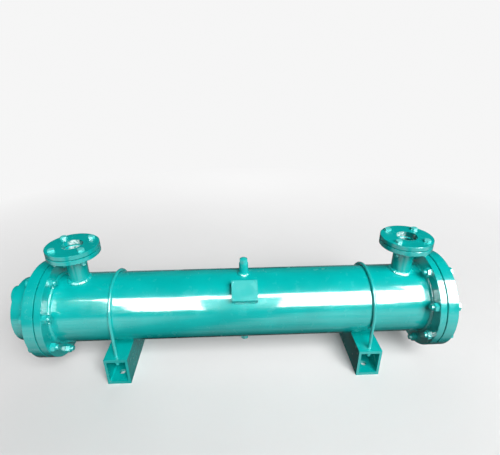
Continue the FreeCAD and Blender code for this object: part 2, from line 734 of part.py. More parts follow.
def make_return_cover():
    make_cover_flange("return_cover_flange", 1, "$float_bore / 2", None)
    skins = []
    for shrink in ("0", "$shell_wall"):
        radius = f"{SHELL_RADIUS} - {shrink}"
        dome = doc.addObject("Part::Ellipsoid", "dome")
        bind(dome, Radius1=f"$dome_depth - {shrink}", Radius2=radius, Radius3=radius)
        dome.Angle1 = 0
        dome.Angle2 = 90
        stand(dome, x=f"{COVER_BACK} + $dome_skirt", z=AXIS, turn=ALONG_X)
        skirt = cylinder(radius, "$dome_skirt", x=COVER_BACK, z=AXIS, turn=ALONG_X)
        skins.append(join(dome, skirt))
    keep(cut(*skins), "return_cover_dome")


def make_end_gaskets():
    rings = (
        ("shell_gasket_left", SHELL_INNER, f"-{COVER_FACE}"),
        ("leak_ring_right", "$float_bore / 2", SHELL_FACE),
    )
    for node, bore, x in rings:
        seal = padded_ring(node, "$gasket_od / 2", bore, "$seal_gap")
        stand(seal, x=x, z=AXIS, turn=ALONG_X)
        keep(seal, node)


def make_cover_fasteners():
    flanges = "$cover_flange_width + $seal_gap + $shell_flange_width"
    length = f"{flanges} + $nut_height + $cover_bolt_end"
    bolt = hex_bolt("$bolt_size", "$hex_width", "$head_height", length)
    nut = hex_nut("$hex_width", "$nut_height", "$bolt_size / 2")
    outward = {1: ALONG_X, -1: FreeCAD.Rotation(Vector(0, 1, 0), -90)}
    for side, sign in SIDES:
        back = sign * size_of(COVER_BACK)
        group(f"cover_bolts_{side}", bolt, cover_bolt_places(back, outward[sign]))
        nut_face = sign * size("flange_inner")
        group(f"cover_nuts_{side}", nut, cover_bolt_places(nut_face, outward[-sign]))


# ---- tube bundle -----------------------------------------------------------------------------


def drill(blank, centres, radius):
    """Take a field of round holes along X out of a disc."""
    depth = blank.Shape.BoundBox.XLength
    start = blank.Shape.BoundBox.XMin
    holes = [
        Part.makeCylinder(radius, depth, Vector(start, y, size("axis_height") + z), Vector(1, 0, 0))
        for y, z in centres
    ]
    return blank.Shape.cut(holes)


def feature(node, shape):
    holder = doc.addObject("Part::Feature", node)
    holder.Shape = shape
    holder.Placement = FreeCAD.Placement()
    return keep(holder, node)


def make_tube_sheets(tubes, rods):
    tube_hole = size("tube_od") / 2 + size("tube_fit")
    sheet_od = "$fixed_sheet_od / 2"
    fixed = cylinder(sheet_od, "$fixed_sheet_width", x=f"-{FIXED_FACE}", z=AXIS, turn=ALONG_X)
    rod_hole = "$tie_rod / 2 + $tube_fit"
    hole_start = f"-{COVER_FACE} - $tie_rod_depth"
    rod_holes = [
        cylinder(rod_hole, "$tie_rod_depth", x=hole_start, y=str(y), z=f"{AXIS} + {z}", turn=ALONG_X)
        for y, z in rods
    ]
    fixed_blank = cut(fixed, *rod_holes)
    sheet_od = "$float_sheet_od / 2"
    floating = cylinder(sheet_od, "$float_sheet_width", x="$float_sheet_start", z=AXIS, turn=ALONG_X)
    grooves = []
    for ring_x in ("$ring_first", "$ring_second"):
        start = f"{ring_x} - $groove_width / 2"
        outer = cylinder("$float_bore / 2", "$groove_width", x=start, z=AXIS, turn=ALONG_X)
        inner = "$ring_outer / 2 - $ring_cord - $tube_fit"
        grooves.append(cut(outer, cylinder(inner, "$groove_width", x=start, z=AXIS, turn=ALONG_X)))
    floating_blank = cut(floating, *grooves)
    doc.recompute()
    feature("fixed_tube_sheet", drill(fixed_blank, tubes, tube_hole))
    feature("floating_tube_sheet", drill(floating_blank, tubes, tube_hole))


def make_o_rings():
    ring = doc.addObject("Part::Torus", "ring")
    bind(ring, Radius1="$ring_outer / 2 - $ring_cord / 2", Radius2="$ring_cord / 2")
    places = [
        FreeCAD.Placement(Vector(size(x), 0, size("axis_height")), ALONG_X)
        for x in ("ring_first", "ring_second")
    ]
    group("floating_head_o_rings", ring, places)


def make_tubes(tubes):
    stick_out = size("tube_stick_out")
    start = -size_of(FIXED_FACE) - stick_out
    length = size_of(FLOAT_END) + stick_out - start
    tube = cut(cylinder("$tube_od / 2", str(length)), cylinder("$tube_id / 2", str(length)))
    places = [FreeCAD.Placement(Vector(start, y, size("axis_height") + z), ALONG_X) for y, z in tubes]
    group("heat_exchange_tubes", tube, places)


def baffle_positions():
    count = int(size("baffle_count"))
    pitch = size("baffle_pitch")
    return [(number - (count - 1) / 2) * pitch for number in range(count)]


def make_baffles(tubes, rods):
    """Segmental discs, cut away in turn at the bottom and the top."""
    width = size("baffle_width")
    reach = size("baffle_od")
    disc = Part.makeCylinder(reach / 2, width)
    window = Part.makeBox(reach, 2 * reach, width, Vector(size("baffle_window"), -reach, 0))
    holes = []
    for centres, passing in ((tubes, "tube_od"), (rods, "tie_rod")):
        radius = size(passing) / 2 + size("baffle_fit")
        holes += [Part.makeCylinder(radius, width, Vector(-z, y, 0)) for y, z in centres]
    cut_bottom = disc.cut([window, *holes])
    half_turn = FreeCAD.Rotation(Vector(0, 0, 1), 180)
    solids = []
    for number, x in enumerate(baffle_positions()):
        turn = ALONG_X if number % 2 == 0 else ALONG_X.multiply(half_turn)
        spot = Vector(x - size("baffle_width") / 2, 0, size("axis_height"))
        solid = cut_bottom.copy()
        solid.Placement = FreeCAD.Placement(spot, turn)
        solids.append(solid)
    feature("baffles", Part.makeCompound(solids))


def make_tie_rods(rods):
    root = -size_of(COVER_FACE) - size("tie_rod_depth")
    last_face = baffle_positions()[-1] + size("baffle_width") / 2
    end = last_face + size("tie_nut") + size("tie_rod_end")
    axis = size("axis_height")

    def along(x):
        return [FreeCAD.Placement(Vector(x, y, axis + z), ALONG_X) for y, z in rods]

    group("tie_rods", cylinder("$tie_rod / 2", str(end - root)), along(root))
    group("tie_rod_nuts", hex_nut("$strap_hex", "$tie_nut", "$tie_rod / 2"), along(last_face))
    starts = [-size_of(COVER_FACE)]
    starts += [x + size("baffle_width") / 2 for x in baffle_positions()[:-1]]
    solids = []
    for start, baffle in zip(starts, baffle_positions()):
        length = baffle - size("baffle_width") / 2 - start
        outer = Part.makeCylinder(size("spacer_od") / 2, length)
        spacer = outer.cut(Part.makeCylinder(size("spacer_id") / 2, length))
        for place in along(start):
            solid = spacer.copy()
            solid.Placement = place
            solids.append(solid)
    feature("spacer_tubes", Part.makeCompound(solids))


# ---- build, check and write --------------------------------------------------------------------

make_shell()
for side_name, side_sign in SIDES:
    make_shell_flange(side_name, side_sign)
    make_nozzle(side_name, side_sign)
    make_saddle(side_name, side_sign)
    make_strap(side_name, side_sign)
make_nozzle_fasteners()
make_plugged_boss("vent", UPRIGHT, "$vent_boss_top")
make_plugged_boss("drain", UPSIDE_DOWN, "$drain_boss_bottom")
make_nameplate()
make_strap_fasteners()
make_water_cover()
make_return_cover()
make_end_gaskets()
make_cover_fasteners()
tube_places, rod_places = split_tie_rods(tube_centres())
make_tube_sheets(tube_places, rod_places)
make_o_rings()
make_tubes(tube_places)
make_baffles(tube_places, rod_places)
make_tie_rods(rod_places)
doc.recompute()

for thing in doc.Objects:
    if {"Invalid", "Error"} & set(thing.State):
        raise RuntimeError(f"{thing.Label} failed: {thing.State}")
os.makedirs("parts", exist_ok=True)
for thing in NODES:
    if thing.Shape.isNull() or not thing.Shape.isValid() or not thing.Shape.Solids:
        raise RuntimeError(f"{thing.Label} has no valid shape")
    thing.Shape.exportStep(f"parts/{thing.Label}.step")
print(f"{len(NODES)} nodes, {len(tube_places)} tubes")
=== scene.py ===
import json
import math

import bmesh
import bpy
from mathutils import Matrix, Vector, noise


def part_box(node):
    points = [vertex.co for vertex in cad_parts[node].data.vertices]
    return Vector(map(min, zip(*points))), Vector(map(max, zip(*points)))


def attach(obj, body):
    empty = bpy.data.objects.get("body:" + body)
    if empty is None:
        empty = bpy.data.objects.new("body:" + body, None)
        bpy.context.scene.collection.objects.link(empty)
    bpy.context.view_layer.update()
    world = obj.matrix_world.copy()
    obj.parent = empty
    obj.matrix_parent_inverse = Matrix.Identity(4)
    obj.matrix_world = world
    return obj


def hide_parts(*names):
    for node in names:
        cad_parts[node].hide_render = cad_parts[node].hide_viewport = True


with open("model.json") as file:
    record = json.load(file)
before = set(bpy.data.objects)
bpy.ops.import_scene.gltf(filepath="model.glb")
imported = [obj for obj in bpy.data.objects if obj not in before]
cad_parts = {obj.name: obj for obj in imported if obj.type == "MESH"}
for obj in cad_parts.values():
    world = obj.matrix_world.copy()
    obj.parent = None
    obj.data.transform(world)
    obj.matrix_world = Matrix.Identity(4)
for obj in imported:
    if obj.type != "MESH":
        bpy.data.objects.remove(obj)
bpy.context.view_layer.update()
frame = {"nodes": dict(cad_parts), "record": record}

# Looks for the hydraulic oil cooler: glossy teal enamel over everything outside, weld beads at
# the seams, threads on the bolt ends and the plugs, and a plain pale studio around it.
# Metres, in the CAD frame: +X along the shell, +Y to the back, +Z up, feet on z = 0.

SHELL_LOW, SHELL_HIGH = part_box("shell_tube")
AXIS = (SHELL_LOW.z + SHELL_HIGH.z) / 2
SHELL_RADIUS = (SHELL_HIGH.z - SHELL_LOW.z) / 2
UP = Vector((0, 0, 1))

# The water cover's dished end rises this much, and the nameplate's bracket is this wide either
# side of its middle.
DISH_RISE = 0.016
HALF_BRACKET = 0.031

# Brightness of the pale backdrop.
BACKDROP = 0.92

# Just outside each bore's own radius, and inside the painted outside of its piece.
COMPANION_BARE = 0.0311
NECK_BARE = 0.0282


# ---- materials ---------------------------------------------------------------------------


class Graph:
    """A node tree, with short calls for adding and linking its nodes."""

    def __init__(self, tree):
        self.tree = tree

    def add(self, kind, **settings):
        node = self.tree.nodes.new(kind)
        for key, value in settings.items():
            setattr(node, key, value)
        return node

    def link(self, source, target):
        self.tree.links.new(source, target)

    def put(self, value, socket):
        """Link another node's output to a socket, or set a plain value on it."""
        if isinstance(value, bpy.types.NodeSocket):
            self.link(value, socket)
        else:
            socket.default_value = value

    def math(self, operation, first, second=0.0):
        node = self.add("ShaderNodeMath", operation=operation)
        self.put(first, node.inputs[0])
        self.put(second, node.inputs[1])
        return node.outputs["Value"]

    def ramp(self, source, *stops):
        """A colour ramp over a value; each stop is (position, colour or grey)."""
        node = self.add("ShaderNodeValToRGB")
        points = node.color_ramp.elements
        while len(points) < len(stops):
            points.new(0.5)
        for point, (position, colour) in zip(points, stops):
            point.position = position
            grey = isinstance(colour, (int, float))
            point.color = (colour, colour, colour, 1) if grey else (*colour, 1)
        self.link(source, node.inputs["Fac"])
        return node.outputs["Color"]

    def split(self, vector):
        """The X, Y and Z of a vector, as one node's outputs."""
        node = self.add("ShaderNodeSeparateXYZ")
        self.link(vector, node.inputs["Vector"])
        return node.outputs

    def noise_at(self, place, scale, detail, roughness=0.5, stretch=(1, 1, 1), shift=(0, 0, 0)):
        """Noise over a place that is first stretched by axis and shifted."""
        mapping = self.add("ShaderNodeMapping")
        mapping.inputs["Location"].default_value = shift
        mapping.inputs["Scale"].default_value = stretch
        self.link(place, mapping.inputs["Vector"])
        texture = self.add("ShaderNodeTexNoise")
        texture.inputs["Scale"].default_value = scale
        texture.inputs["Detail"].default_value = detail
        texture.inputs["Roughness"].default_value = roughness
        self.link(mapping.outputs["Vector"], texture.inputs["Vector"])
        return texture.outputs["Fac"]

    def mix_shaders(self, factor, first, second):
        node = self.add("ShaderNodeMixShader")
        self.link(factor, node.inputs["Fac"])
        self.link(first, node.inputs[1])
        self.link(second, node.inputs[2])
        return node.outputs["Shader"]


class Nodes(Graph):
    """A new material and the calls that build its look."""

    def __init__(self, name):
        self.material = bpy.data.materials.new(name)
        self.material.use_nodes = True
        super().__init__(self.material.node_tree)
        self.shader = self.tree.nodes["Principled BSDF"]
        self.place = self.add("ShaderNodeTexCoord").outputs["Object"]

    def noise(self, scale, detail=3.0, roughness=0.55, stretch=(1, 1, 1), shift=(0, 0, 0)):
        return self.noise_at(self.place, scale, detail, roughness, stretch, shift)

    def mix(self, factor, first, second):
        """Two colours blended by a value; each may be a colour or another node's output."""
        node = self.add("ShaderNodeMix", data_type="RGBA")
        sockets = {s.identifier: s for s in node.inputs}
        self.put(factor, sockets["Factor_Float"])
        for value, key in ((first, "A_Color"), (second, "B_Color")):
            linked = isinstance(value, bpy.types.NodeSocket)
            self.put(value if linked else (*value, 1), sockets[key])
        return next(s for s in node.outputs if s.identifier == "Result_Color")

    def bump(self, *layers):
        """Stack height layers, each (value, distance in metres, strength)."""
        normal = None
        for height, distance, strength in layers:
            node = self.add("ShaderNodeBump")
            node.inputs["Distance"].default_value = distance
            node.inputs["Strength"].default_value = strength
            self.link(height, node.inputs["Height"])
            if normal is not None:
                self.link(normal, node.inputs["Normal"])
            normal = node.outputs["Normal"]
        self.link(normal, self.shader.inputs["Normal"])
        self.link(normal, self.shader.inputs["Coat Normal"])

    def base(self, colour):
        self.link(colour, self.shader.inputs["Base Color"])

    def rough(self, low, high, source):
        self.link(self.ramp(source, (0.3, low), (0.7, high)), self.shader.inputs["Roughness"])

    def set(self, **values):
        for key, value in values.items():
            self.shader.inputs[key.replace("_", " ")].default_value = value


def enamel_nodes(name, colour, brushed=1.0):
    """Thick glossy enamel brushed over steel: slow colour drift, brush marks, sags, dust nibs."""
    nodes = Nodes(name)
    deep = tuple(0.84 * c for c in colour)
    bright = tuple(1.08 * c for c in colour)
    drift = nodes.noise(6, detail=4)
    coat = nodes.ramp(drift, (0.3, deep), (0.7, bright))
    streaks = nodes.noise(60, detail=2, stretch=(0.12, 1, 1), shift=(3, 1, 2))
    coat = nodes.mix(nodes.ramp(streaks, (0.45, 0.0), (0.8, 0.25)), coat, deep)
    grime = nodes.noise(900, detail=2, roughness=0.6)
    specks = nodes.ramp(grime, (0.74, 0.0), (0.84, 0.14))
    nodes.base(nodes.mix(specks, coat, tuple(0.35 * c for c in colour)))
    nodes.rough(0.16, 0.30, nodes.noise(35, detail=4))
    sag = nodes.noise(11, detail=2, stretch=(0.5, 1, 1), shift=(1, 4, 2))
    brush = nodes.noise(150, detail=3, stretch=(0.07, 1, 1))
    peel = nodes.noise(420, detail=1)
    nibs = nodes.ramp(nodes.noise(620, detail=1, shift=(5, 5, 5)), (0.74, 0.0), (0.82, 1.0))
    nodes.bump(
        (sag, 0.004, 0.12 * brushed),
        (brush, 0.0010, 0.14 * brushed),
        (peel, 0.0004, 0.05 * brushed),
        (nibs, 0.0003, 0.03 * brushed),
    )
    nodes.set(
        Specular_IOR_Level=0.25,
        Coat_Weight=1.0,
        Coat_Roughness=0.03,
        Coat_IOR=1.5,
    )
    return nodes


def enamel(name, colour, brushed=1.0):
    return enamel_nodes(name, colour, brushed).material


def machined_steel(name, colour):
    """Turned and oiled steel: fine turning lines and patchy oil."""
    nodes = Nodes(name)
    oil = nodes.noise(40, detail=4)
    nodes.base(nodes.ramp(oil, (0.35, tuple(0.7 * c for c in colour)), (0.7, colour)))
    nodes.rough(0.22, 0.42, nodes.noise(120, detail=3))
    lines = nodes.noise(1500, detail=1, stretch=(1, 0.05, 0.05))
    nodes.bump((lines, 0.0002, 0.3))
    nodes.set(Metallic=1.0)
    return nodes.material


def drawn_copper(name):
    nodes = Nodes(name)
    tarnish = nodes.noise(25, detail=5, stretch=(0.3, 1, 1))
    nodes.base(nodes.ramp(tarnish, (0.3, (0.42, 0.17, 0.09)), (0.7, (0.80, 0.42, 0.26))))
    nodes.rough(0.18, 0.38, nodes.noise(80, detail=3))
    lines = nodes.noise(1200, detail=1, stretch=(0.02, 1, 1))
    nodes.bump((lines, 0.0001, 0.3))
    nodes.set(Metallic=1.0)
    return nodes.material


def sealing_sheet(name, colour):
    """Compressed fibre or rubber: matte, with a fine pressed grain."""
    nodes = Nodes(name)
    mottle = nodes.noise(300, detail=4)
    nodes.base(nodes.ramp(mottle, (0.3, tuple(0.6 * c for c in colour)), (0.75, colour)))
    nodes.rough(0.55, 0.8, nodes.noise(200, detail=2))
    nodes.bump((nodes.noise(1800, detail=2), 0.0002, 0.5))
    return nodes.material


def pale_floor(name):
    """Matte pale floor that fades to the backdrop far from the object, so no horizon shows."""
    nodes = Nodes(name)
    cloud = nodes.noise(0.8, detail=4)
    nodes.base(nodes.ramp(cloud, (0.3, 0.57), (0.7, 0.61)))
    nodes.rough(0.7, 0.85, nodes.noise(12, detail=3))
    nodes.bump((nodes.noise(150, detail=3), 0.0005, 0.2))
    nodes.set(Specular_IOR_Level=0.2)
    distance = nodes.add("ShaderNodeVectorMath", operation="LENGTH")
    nodes.link(nodes.place, distance.inputs[0])
    reach = 8.0
    share = nodes.math("DIVIDE", distance.outputs["Value"], reach)
    far = nodes.ramp(share, (0.06, 0.0), (0.3, 1.0))
    glow = nodes.add("ShaderNodeEmission")
    glow.inputs["Color"].default_value = (BACKDROP, BACKDROP, BACKDROP, 1)
    blend = nodes.mix_shaders(far, nodes.shader.outputs["BSDF"], glow.outputs["Emission"])
    nodes.link(blend, nodes.tree.nodes["Material Output"].inputs["Surface"])
    return nodes.material


def bored_enamel(name, colour, bare_radius):
    """The enamel, with a patch of pale bare blasted steel in each nozzle's bore, kept to the side of
    the bore the light falls on as a painted highlight, and painted shade in the bore to its right.
    """
    low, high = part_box("companion_flange_right")
    axis_x = (low.x + high.x) / 2
    nodes = enamel_nodes(name, colour)
    parts = nodes.split(nodes.place)
    middle = nodes.math("MULTIPLY", nodes.math("SIGN", parts["X"]), axis_x)
    across = nodes.math("SUBTRACT", parts["X"], middle)
    squares = nodes.math(
        "ADD",
        nodes.math("MULTIPLY", across, across),
        nodes.math("POWER", parts["Y"], 2.0),
    )
    inside = nodes.math("LESS_THAN", nodes.math("SQRT", squares), bare_radius)
    share = nodes.math("DIVIDE", across, bare_radius)
    span = nodes.math("ADD", nodes.math("MULTIPLY", share, 0.5), 0.5)
    # The bare steel shows only across the lit side of the bore: its pale colour there is partly the
    # steel's own and partly painted highlight.
    lit_side_patch = nodes.ramp(span, (0.12, 0.0), (0.24, 1.0), (0.58, 1.0), (0.70, 0.0))
    bare_where_lit = nodes.math("MULTIPLY", inside, lit_side_patch)
    # Painted shade: the right-hand side of the bore is darkened to a deep teal, as if in its own
    # wall's shadow.
    shaded = nodes.math("MULTIPLY", inside, nodes.math("GREATER_THAN", span, 0.62))
    blasted = nodes.noise(160, detail=2, roughness=0.5)
    bare = nodes.ramp(blasted, (0.38, (0.10, 0.36, 0.34)), (0.58, (0.66, 0.80, 0.78)))
    painted = nodes.shader.inputs["Base Color"].links[0].from_socket
    with_painted_shade = nodes.mix(shaded, painted, (0.0, 0.13, 0.12))
    nodes.base(nodes.mix(bare_where_lit, with_painted_shade, bare))
    return nodes.material


MATERIALS = {
    "body_enamel": enamel("teal_enamel_body", (0.0, 0.39, 0.372)),
    "saddle_enamel": enamel("teal_enamel_saddle", (0.0, 0.36, 0.34), brushed=1.4),
    "fastener_enamel": enamel("teal_enamel_fastener", (0.01, 0.43, 0.41), brushed=0.8),
    # The nozzle bolts are a lighter teal than the other fasteners: a painted highlight on their
    # heads.
    "nozzle_bolts": enamel("teal_enamel_painted_highlight", (0.10, 0.58, 0.55), brushed=0.8),
    "plate_enamel": enamel("teal_enamel_plate", (0.03, 0.44, 0.42), brushed=0.5),
    "weld": enamel("teal_enamel_weld", (0.0, 0.40, 0.38), brushed=3.0),
    "companion": bored_enamel("teal_enamel_companion", (0.0, 0.37, 0.35), COMPANION_BARE),
    "neck": bored_enamel("teal_enamel_neck", (0.0, 0.38, 0.36), NECK_BARE),
    "gasket_rubber": sealing_sheet("gasket_sheet", (0.012, 0.02, 0.02)),
    "seal_rubber": sealing_sheet("nitrile_seal", (0.01, 0.01, 0.01)),
    # The leak ring's near-black colour is painted shade: it makes the thin gap between the flanges
    # read as dark.
    "leak_ring_steel": machined_steel("ring_steel_painted_gap_shade", (0.006, 0.010, 0.010)),
    "tube_copper": drawn_copper("drawn_copper"),
    "bundle_steel": machined_steel("oiled_steel", (0.45, 0.45, 0.44)),
}


def dress_cad_nodes():
    """Give every CAD node its slot's material, with the nozzles' own looks on top: painted light and
    shade in the bores, and a lighter teal on the nozzle bolts as a painted highlight.
    """
    for part in frame["record"]["subparts"]:
        node = frame["nodes"][part["node"]]
        look = part["material_slot"]
        if part["node"].startswith("companion_flange"):
            look = "companion"
        elif part["node"].startswith("nozzle_neck"):
            look = "neck"
        elif part["node"].startswith("nozzle_bolts"):
            look = "nozzle_bolts"
        for slot in node.material_slots:
            slot.material = MATERIALS[look]


# ---- mesh helpers ------------------------------------------------------------------------


def mesh_piece(name, points, faces, slot, body="cooler", smooth=True, material=None):
    """A new mesh piece that rides on a body and wears the material of one of the record's slots, or
    the material named instead.
    """
    mesh = bpy.data.meshes.new(name)
    mesh.from_pydata([tuple(p) for p in points], [], faces)
    mesh.validate()
    work = bmesh.new()
    work.from_mesh(mesh)
    bmesh.ops.recalc_face_normals(work, faces=work.faces)
    work.to_mesh(mesh)
    work.free()
    for face in mesh.polygons:
        face.use_smooth = smooth
    piece = bpy.data.objects.new(name, mesh)
    bpy.context.scene.collection.objects.link(piece)
    mesh.materials.append(MATERIALS[material or slot])
    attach(piece, body)
    return piece


def grid_faces(rows, columns, start=0, closed_rows=False):
    """Quads between rows of a grid whose columns run round a closed loop."""
    faces = []
    for row in range(rows if closed_rows else rows - 1):
        here = start + row * columns
        there = start + (row + 1) % rows * columns
        for column in range(columns):
            after = (column + 1) % columns
            faces.append((here + column, here + after, there + after, there + column))
    return faces


# ---- weld beads --------------------------------------------------------------------------

# Length of one frozen drop along a bead, and how many rows of points shape it.
RIPPLE = 0.0055
ROWS_IN_RIPPLE = 5
# A fillet's section, in units of half its face: across the face, and out from the corner.
FILLET = (
    (-1.08, 0.90),
    (-0.62, 1.05),
    (-0.2, 1.12),
    (0.2, 1.12),
    (0.62, 1.05),
    (1.08, 0.90),
    (0.3, -0.1),
    (-0.3, -0.1),
)
ROUTE_SAMPLES = 400
# Changes in a bead's width, per metre: the slow wander of the hand and the quick chatter.
WANDER = 25
CHATTER = 220
# Half the face of each fillet.
FLANGE_FILLET = 0.0052
COVER_FILLET = 0.0045
NOZZLE_FILLET = 0.0058
NOZZLE_FLANGE_FILLET = 0.0034
BOSS_FILLET = 0.0048
PORT_FILLET = 0.0038
SADDLE_FILLET = 0.0032
BRACKET_FILLET = 0.0020
# How far a straight fillet stops short of its plate's ends.
SADDLE_WELD_END = 0.002
BRACKET_WELD_END = 0.004


def along_route(route, step, closed):
    """Evenly spaced (point, way the weld faces) along a route given as a function of 0 to 1."""
    samples = [route(i / ROUTE_SAMPLES) for i in range(ROUTE_SAMPLES + 1)]
    lengths = [0.0]
    for (a, _), (b, _) in zip(samples, samples[1:]):
        lengths.append(lengths[-1] + (b - a).length)
    pieces = max(8, round(lengths[-1] / step))
    points = []
    index = 0
    for number in range(pieces if closed else pieces + 1):
        wanted = lengths[-1] * number / pieces
        while index < ROUTE_SAMPLES - 1 and lengths[index + 1] < wanted:
            index += 1
        span = lengths[index + 1] - lengths[index]
        share = (wanted - lengths[index]) / span if span else 0.0
        here, after = samples[index], samples[index + 1]
        points.append((here[0].lerp(after[0], share), here[1].lerp(after[1], share)))
    return points


def weld_points(route, half_face, closed, seed):
    """A fillet along a route: ripples where each drop of weld froze, and uneven width."""
    step = RIPPLE / ROWS_IN_RIPPLE
    places = along_route(route, step, closed)
    total = len(places)
    sides = len(FILLET)
    points = []
    for number, (centre, facing) in enumerate(places):
        before = places[number - 1][0] if closed or number else centre
        after = places[(number + 1) % total][0] if closed or number + 1 < total else centre
        forward = (after - before).normalized()
        out = (facing - forward * facing.dot(forward)).normalized()
        across = forward.cross(out)
        gone = number * step
        wander = noise.noise(Vector((gone * WANDER, seed, 0)))
        chatter = noise.noise(Vector((gone * CHATTER, seed, 3)))
        ripple = abs(math.sin(math.pi * (gone / RIPPLE + 0.4 * wander)))
        width = half_face * (0.86 + 0.12 * ripple + 0.22 * wander + 0.10 * chatter)
        if not closed:
            width *= min(1.0, 0.25 + min(number, total - 1 - number) / 6)
        for sideways, outwards in FILLET:
            lump = 1.0 + 0.10 * chatter * sideways
            points.append(centre + width * (sideways * across + lump * outwards * out))
    faces = grid_faces(total, sides, closed_rows=closed)
    if not closed:
        faces.append(tuple(range(sides)))
        faces.append(tuple(range((total - 1) * sides, total * sides)))
    return points, faces


def weld(name, routes, half_face, closed=True, slot="body_enamel"):
    """One piece of weld fillets, one for each route."""
    points = []
    faces = []
    for number, route in enumerate(routes):
        bead, quads = weld_points(route, half_face, closed, seed=len(name) + 7 * number)
        faces += [tuple(i + len(points) for i in face) for face in quads]
        points += bead
    return mesh_piece(name, points, faces, slot, material="weld")


def ring_round_shell(x, radius, way):
    """A corner that runs round the shell's axis, open outwards and along X by way."""

    def route(t):
        turn = 2 * math.pi * t
        spoke = Vector((0, math.cos(turn), math.sin(turn)))
        return Vector((x, 0, AXIS)) + radius * spoke, spoke + Vector((way, 0, 0))

    return route


def ring_level(x, z, radius):
    """A corner that runs level round a nozzle's axis, open outwards and down."""

    def route(t):
        turn = 2 * math.pi * t
        spoke = Vector((math.cos(turn), math.sin(turn), 0))
        return Vector((x, 0, z)) + radius * spoke, spoke - UP

    return route


def seam_on_shell(x, radius, way):
    """Where an upright pipe of this radius meets the top (way 1) or bottom of the shell."""

    def route(t):
        turn = 2 * math.pi * t
        spoke = Vector((math.cos(turn), math.sin(turn), 0))
        y = radius * math.sin(turn)
        rise = math.sqrt(SHELL_RADIUS**2 - y**2)
        skin = Vector((0, y, way * rise)).normalized()
        return Vector((x + radius * math.cos(turn), y, AXIS + way * rise)), spoke + skin

    return route


def straight(start, end, facing):
    def route(t):
        return Vector(start).lerp(Vector(end), t), Vector(facing)

    return route


def make_flange_welds():
    left_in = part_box("shell_flange_left")[1].x
    right_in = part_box("shell_flange_right")[0].x
    weld("shell_flange_weld_left", [ring_round_shell(left_in, SHELL_RADIUS, 1)], FLANGE_FILLET)
    weld("shell_flange_weld_right", [ring_round_shell(right_in, SHELL_RADIUS, -1)], FLANGE_FILLET)
    barrel_low, barrel_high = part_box("water_cover_barrel")
    barrel_radius = (barrel_high.z - barrel_low.z) / 2
    flange_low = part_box("water_cover_flange")[0]
    weld("water_cover_weld", [ring_round_shell(flange_low.x, barrel_radius, -1)], COVER_FILLET)
    return_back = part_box("return_cover_flange")[1].x
    weld("return_cover_weld", [ring_round_shell(return_back, SHELL_RADIUS, 1)], COVER_FILLET)


def make_nozzle_welds():
    for side in ("left", "right"):
        low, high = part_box(f"nozzle_neck_{side}")
        x = (low.x + high.x) / 2
        radius = (high.x - low.x) / 2
        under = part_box(f"nozzle_flange_{side}")[0].z
        weld(f"nozzle_shell_weld_{side}", [seam_on_shell(x, radius, 1)], NOZZLE_FILLET)
        collar = ring_level(x, under, radius)
        weld(f"nozzle_flange_weld_{side}", [collar], NOZZLE_FLANGE_FILLET)


def make_boss_welds():
    for name, way in (("vent", 1), ("drain", -1)):
        low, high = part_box(f"{name}_boss")
        x = (low.x + high.x) / 2
        radius = (high.x - low.x) / 2
        weld(f"{name}_boss_weld", [seam_on_shell(x, radius, way)], BOSS_FILLET)


def make_port_welds():
    """Fillets where the water ports come out of the dished end of the water cover."""
    barrel_low, barrel_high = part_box("water_cover_barrel")
    barrel_tip = barrel_low.x
    barrel_radius = (barrel_high.z - barrel_low.z) / 2
    dish = (barrel_radius**2 + DISH_RISE**2) / (2 * DISH_RISE)
    routes = []
    for name in ("upper", "lower"):
        low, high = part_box(f"water_port_{name}")
        centre = (low.z + high.z) / 2 - AXIS
        radius = (high.z - low.z) / 2

        def route(t, centre=centre, radius=radius):
            turn = 2 * math.pi * t
            y = radius * math.cos(turn)
            z = centre + radius * math.sin(turn)
            x = barrel_tip + dish - math.sqrt(dish**2 - y**2 - z**2)
            spoke = Vector((0, math.cos(turn), math.sin(turn)))
            return Vector((x, y, AXIS + z)), spoke - Vector((1, 0, 0))

        routes.append(route)
    weld("water_port_welds", routes, PORT_FILLET)


def make_saddle_welds():
    """Fillets inside each saddle, where its side plates meet the top and base plates."""
    for side in ("left", "right"):
        low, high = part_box(f"saddle_base_plate_{side}")
        top_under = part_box(f"saddle_top_plate_{side}")[0].z
        middle = (low.x + high.x) / 2
        routes = []
        for plate in ("outer", "inner"):
            wall_low, wall_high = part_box(f"saddle_{plate}_plate_{side}")
            leftmost = wall_high.x < middle
            inside = wall_high.x if leftmost else wall_low.x
            for z, rise in ((high.z, 1), (top_under, -1)):
                start = (inside, low.y + SADDLE_WELD_END, z)
                end = (inside, high.y - SADDLE_WELD_END, z)
                routes.append(straight(start, end, (1 if leftmost else -1, 0, rise)))
        weld(f"saddle_welds_{side}", routes, SADDLE_FILLET, closed=False, slot="saddle_enamel")


def plate_frame():
    """The nameplate's outward normal and the direction up its face."""
    low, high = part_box("nameplate")
    centre = (low + high) / 2
    outward = Vector((0, centre.y, centre.z - AXIS)).normalized()
    upward = outward.cross(Vector((1, 0, 0))).normalized()
    return outward, upward if upward.z > 0 else -upward


def make_bracket_welds():
    low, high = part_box("nameplate_bracket")
    outward, upward = plate_frame()
    depth = math.sqrt(SHELL_RADIUS**2 - HALF_BRACKET**2)
    routes = []
    for way in (-1, 1):
        foot = Vector((0, 0, AXIS)) + depth * outward + way * HALF_BRACKET * upward
        start = foot + Vector((low.x + BRACKET_WELD_END, 0, 0))
        end = foot + Vector((high.x - BRACKET_WELD_END, 0, 0))
        routes.append(straight(start, end, way * upward + 0.6 * outward))
    weld("nameplate_bracket_welds", routes, BRACKET_FILLET, closed=False)


# ---- threads and plugs ---------------------------------------------------------------------

# Points in one turn of a thread, and rows in one pitch.
TURN_POINTS = 28
PITCH_ROWS = 6
# A bolt's thread stands this much on its plain end, and stops this much short of the tip.
THREAD_HEIGHT = 0.00045
THREAD_STOP = 0.0005
